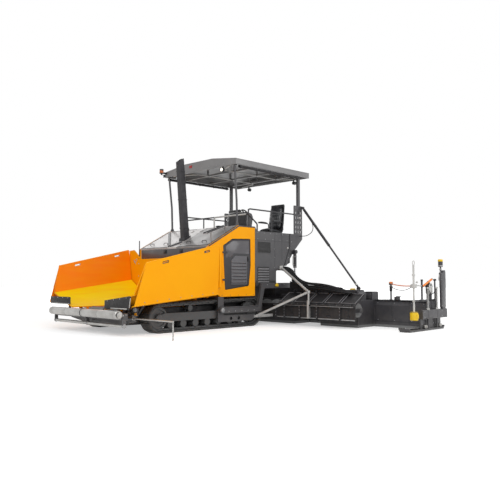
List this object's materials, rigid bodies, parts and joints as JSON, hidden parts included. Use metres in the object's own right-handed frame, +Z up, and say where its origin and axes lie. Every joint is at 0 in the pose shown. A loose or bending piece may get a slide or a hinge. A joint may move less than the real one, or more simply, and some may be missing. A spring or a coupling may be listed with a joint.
{
  "type": "tracked asphalt paver",
  "caption": "Tracked road paver with an open hopper, sloping engine hood, exhaust stack, canopied operator platform, augers and a wide height-adjustable screed behind",
  "frame": {"origin": "ground level below the centre of the whole machine", "axes": "X points forward to the hopper, Y to the machine's left, Z up"},
  "size_m": [6.32, 9.4, 3.9],
  "materials": {
    "orange_paint": "gloss",
    "dark_paint": "satin",
    "grey_paint": "satin",
    "black_paint": "satin",
    "bright_steel": "brushed",
    "worn_steel": "worn",
    "track_steel": "worn",
    "chrome": "polished",
    "rubber": "matt",
    "black_plastic": "matt"
  },
  "bodies": {
    "tractor": {"chassis": "dark_paint", "wing_hinge_rods": "bright_steel", "slat_conveyors": "worn_steel", "tracks": "track_steel", "track_frames": "dark_paint", "hopper_rear_wall": "orange_paint", "side_bodies": "orange_paint", "hood_spine": "grey_paint", "exhaust_stack": "black_paint", "engine_block": "worn_steel", "platform": "dark_paint", "rear_frames": "dark_paint", "canopy_posts": "dark_paint", "canopy": "grey_paint", "handrails": "black_paint", "seats": "black_plastic", "limiting_plates": "dark_paint", "front_crossmember": "dark_paint", "curtain_rolls": "rubber", "work_lamps": "black_plastic", "auger_braces": "bright_steel"},
    "push_unit": {"push_beam": "dark_paint", "push_bar": "bright_steel"},
    "console": {"operator_console": "black_plastic"},
    "screed": {"tow_arms": "dark_paint", "main_screed": "dark_paint", "main_screed_sole": "worn_steel"},
    "guide": {"steering_guide": "bright_steel"},
    "roller_left": {"push_roller_left": "bright_steel"},
    "roller_right": {"push_roller_right": "bright_steel"},
    "wing_left": {"hopper_wing_left": "orange_paint", "wing_flap_left": "rubber"},
    "wing_right": {"hopper_wing_right": "orange_paint", "wing_flap_right": "rubber"},
    "door_left": {"service_door_left": "dark_paint"},
    "door_right": {"service_door_right": "dark_paint"},
    "lid_left": {"hood_lid_left": "grey_paint"},
    "lid_right": {"hood_lid_right": "grey_paint"},
    "extension_left": {"screed_extension_left": "dark_paint", "extension_sole_left": "worn_steel", "side_station_left": "dark_paint"},
    "extension_right": {"screed_extension_right": "dark_paint", "extension_sole_right": "worn_steel", "side_station_right": "dark_paint"},
    "gate_left": {"end_gate_left": "dark_paint"},
    "gate_right": {"end_gate_right": "dark_paint"},
    "auger_left": {"auger_left": "worn_steel"},
    "auger_right": {"auger_right": "worn_steel"},
    "lift_barrel_left": {"lift_barrel_left": "black_paint"},
    "lift_barrel_right": {"lift_barrel_right": "black_paint"},
    "lift_rod_left": {"lift_rod_left": "chrome"},
    "lift_rod_right": {"lift_rod_right": "chrome"},
    "wing_barrel_left": {"wing_barrel_left": "black_paint"},
    "wing_barrel_right": {"wing_barrel_right": "black_paint"},
    "wing_rod_left": {"wing_rod_left": "chrome"},
    "wing_rod_right": {"wing_rod_right": "chrome"},
    "stay_sleeve_left": {"stay_sleeve_left": "dark_paint"},
    "stay_sleeve_right": {"stay_sleeve_right": "dark_paint"},
    "stay_rod_left": {"stay_rod_left": "bright_steel"},
    "stay_rod_right": {"stay_rod_right": "bright_steel"}
  },
  "joints": [
    {"name": "push_beam_pivot", "type": "hinge", "parent": "tractor", "child": "push_unit", "pos_m": [2.84, 0, 0.34], "axis": [0, 0, 1], "range_deg": [-4, 4]},
    {"name": "screed_lift", "type": "hinge", "parent": "tractor", "child": "screed", "pos_m": [0.48, 0, 0.4], "axis": [0, 1, 0], "range_deg": [0, 6]},
    {"name": "console_slide", "type": "slide", "parent": "tractor", "child": "console", "axis": [0, 1, 0], "range_m": [-1.35, 0.15]},
    {"name": "guide_reach", "type": "slide", "parent": "tractor", "child": "guide", "axis": [0, 1, 0], "range_m": [-0.9, 0]},
    {"name": "roller_left_spin", "type": "hinge", "parent": "push_unit", "child": "roller_left", "pos_m": [3.08, 0.6, 0.408], "axis": [0, 1, 0], "continuous": true},
    {"name": "wing_left_fold", "type": "hinge", "parent": "tractor", "child": "wing_left", "pos_m": [1.9, 0.64, 0.455], "axis": [1, 0, 0], "range_deg": [0, 45]},
    {"name": "door_left_open", "type": "hinge", "parent": "tractor", "child": "door_left", "pos_m": [0.445, 1.28, 1.3], "axis": [0, 0, -1], "range_deg": [0, 110]},
    {"name": "lid_left_open", "type": "hinge", "parent": "tractor", "child": "lid_left", "pos_m": [0.4, 0.158, 2.0463], "axis": [0.8805, 0, -0.4741], "range_deg": [0, 55]},
    {"name": "extension_left_reach", "type": "slide", "parent": "screed", "child": "extension_left", "axis": [0, 1, 0], "range_m": [-0.7, 0]},
    {"name": "gate_left_height", "type": "slide", "parent": "extension_left", "child": "gate_left", "axis": [0, 0, 1], "range_m": [0, 0.15]},
    {"name": "auger_left_spin", "type": "hinge", "parent": "tractor", "child": "auger_left", "pos_m": [-1.5, 1.2, 0.4], "axis": [0, 1, 0], "continuous": true},
    {"name": "lift_left_swing", "type": "hinge", "parent": "tractor", "child": "lift_barrel_left", "pos_m": [-1.96, 1.325, 1.75], "axis": [0, 1, 0], "range_deg": [-11, 0]},
    {"name": "lift_left_stroke", "type": "slide", "parent": "lift_barrel_left", "child": "lift_rod_left", "axis": [0, 0, 1], "range_m": [0, 0.25]},
    {"name": "wing_cylinder_left_swing", "type": "hinge", "parent": "tractor", "child": "wing_barrel_left", "pos_m": [2.5, 0.93, 0.3], "axis": [1, 0, 0], "range_deg": [0, 45.5]},
    {"name": "wing_cylinder_left_stroke", "type": "slide", "parent": "wing_barrel_left", "child": "wing_rod_left", "axis": [0, 0.7615, 0.6481], "range_m": [0, 0.255]},
    {"name": "stay_left_swing", "type": "hinge", "parent": "tractor", "child": "stay_sleeve_left", "pos_m": [-2.29, 1.32, 2.87], "axis": [1, 0, 0], "range_deg": [0, 4.5]},
    {"name": "stay_left_stroke", "type": "slide", "parent": "stay_sleeve_left", "child": "stay_rod_left", "axis": [0, -0.6345, 0.7729], "range_m": [0, 0.22]},
    {"name": "roller_right_spin", "type": "hinge", "parent": "push_unit", "child": "roller_right", "pos_m": [3.08, -0.6, 0.408], "axis": [0, 1, 0], "continuous": true},
    {"name": "wing_right_fold", "type": "hinge", "parent": "tractor", "child": "wing_right", "pos_m": [1.9, -0.64, 0.455], "axis": [-1, 0, 0], "range_deg": [0, 45]},
    {"name": "door_right_open", "type": "hinge", "parent": "tractor", "child": "door_right", "pos_m": [0.445, -1.28, 1.3], "axis": [0, 0, 1], "range_deg": [0, 110]},
    {"name": "lid_right_open", "type": "hinge", "parent": "tractor", "child": "lid_right", "pos_m": [0.4, -0.158, 2.0463], "axis": [-0.8805, 0, 0.4741], "range_deg": [0, 55]},
    {"name": "extension_right_reach", "type": "slide", "parent": "screed", "child": "extension_right", "axis": [0, -1, 0], "range_m": [-0.7, 0]},
    {"name": "gate_right_height", "type": "slide", "parent": "extension_right", "child": "gate_right", "axis": [0, 0, 1], "range_m": [0, 0.15]},
    {"name": "auger_right_spin", "type": "hinge", "parent": "tractor", "child": "auger_right", "pos_m": [-1.5, -1.2, 0.4], "axis": [0, 1, 0], "continuous": true},
    {"name": "lift_right_swing", "type": "hinge", "parent": "tractor", "child": "lift_barrel_right", "pos_m": [-1.96, -1.325, 1.75], "axis": [0, 1, 0], "range_deg": [-11, 0]},
    {"name": "lift_right_stroke", "type": "slide", "parent": "lift_barrel_right", "child": "lift_rod_right", "axis": [0, 0, 1], "range_m": [0, 0.25]},
    {"name": "wing_cylinder_right_swing", "type": "hinge", "parent": "tractor", "child": "wing_barrel_right", "pos_m": [2.5, -0.93, 0.3], "axis": [-1, 0, 0], "range_deg": [0, 45.5]},
    {"name": "wing_cylinder_right_stroke", "type": "slide", "parent": "wing_barrel_right", "child": "wing_rod_right", "axis": [0, -0.7615, 0.6481], "range_m": [0, 0.255]},
    {"name": "stay_right_swing", "type": "hinge", "parent": "tractor", "child": "stay_sleeve_right", "pos_m": [-2.29, -1.32, 2.87], "axis": [-1, 0, 0], "range_deg": [0, 4.5]},
    {"name": "stay_right_stroke", "type": "slide", "parent": "stay_sleeve_right", "child": "stay_rod_right", "axis": [0, 0.6345, 0.7729], "range_m": [0, 0.22]}
  ],
  "couplings": [
    {"joint": "lift_left_swing", "follows": "screed_lift", "ratio": -1.712},
    {"joint": "lift_left_stroke", "follows": "screed_lift", "m_per_rad": 2.332},
    {"joint": "wing_cylinder_left_swing", "follows": "wing_left_fold", "ratio": 0.9933},
    {"joint": "wing_cylinder_left_stroke", "follows": "wing_left_fold", "m_per_rad": 0.3204},
    {"joint": "stay_left_swing", "follows": "screed_lift", "ratio": 0.73},
    {"joint": "stay_left_stroke", "follows": "screed_lift", "m_per_rad": 2.052},
    {"joint": "lift_right_swing", "follows": "screed_lift", "ratio": -1.712},
    {"joint": "lift_right_stroke", "follows": "screed_lift", "m_per_rad": 2.332},
    {"joint": "wing_cylinder_right_swing", "follows": "wing_right_fold", "ratio": 0.9933},
    {"joint": "wing_cylinder_right_stroke", "follows": "wing_right_fold", "m_per_rad": 0.3204},
    {"joint": "stay_right_swing", "follows": "screed_lift", "ratio": 0.73},
    {"joint": "stay_right_stroke", "follows": "screed_lift", "m_per_rad": 2.052}
  ]
}
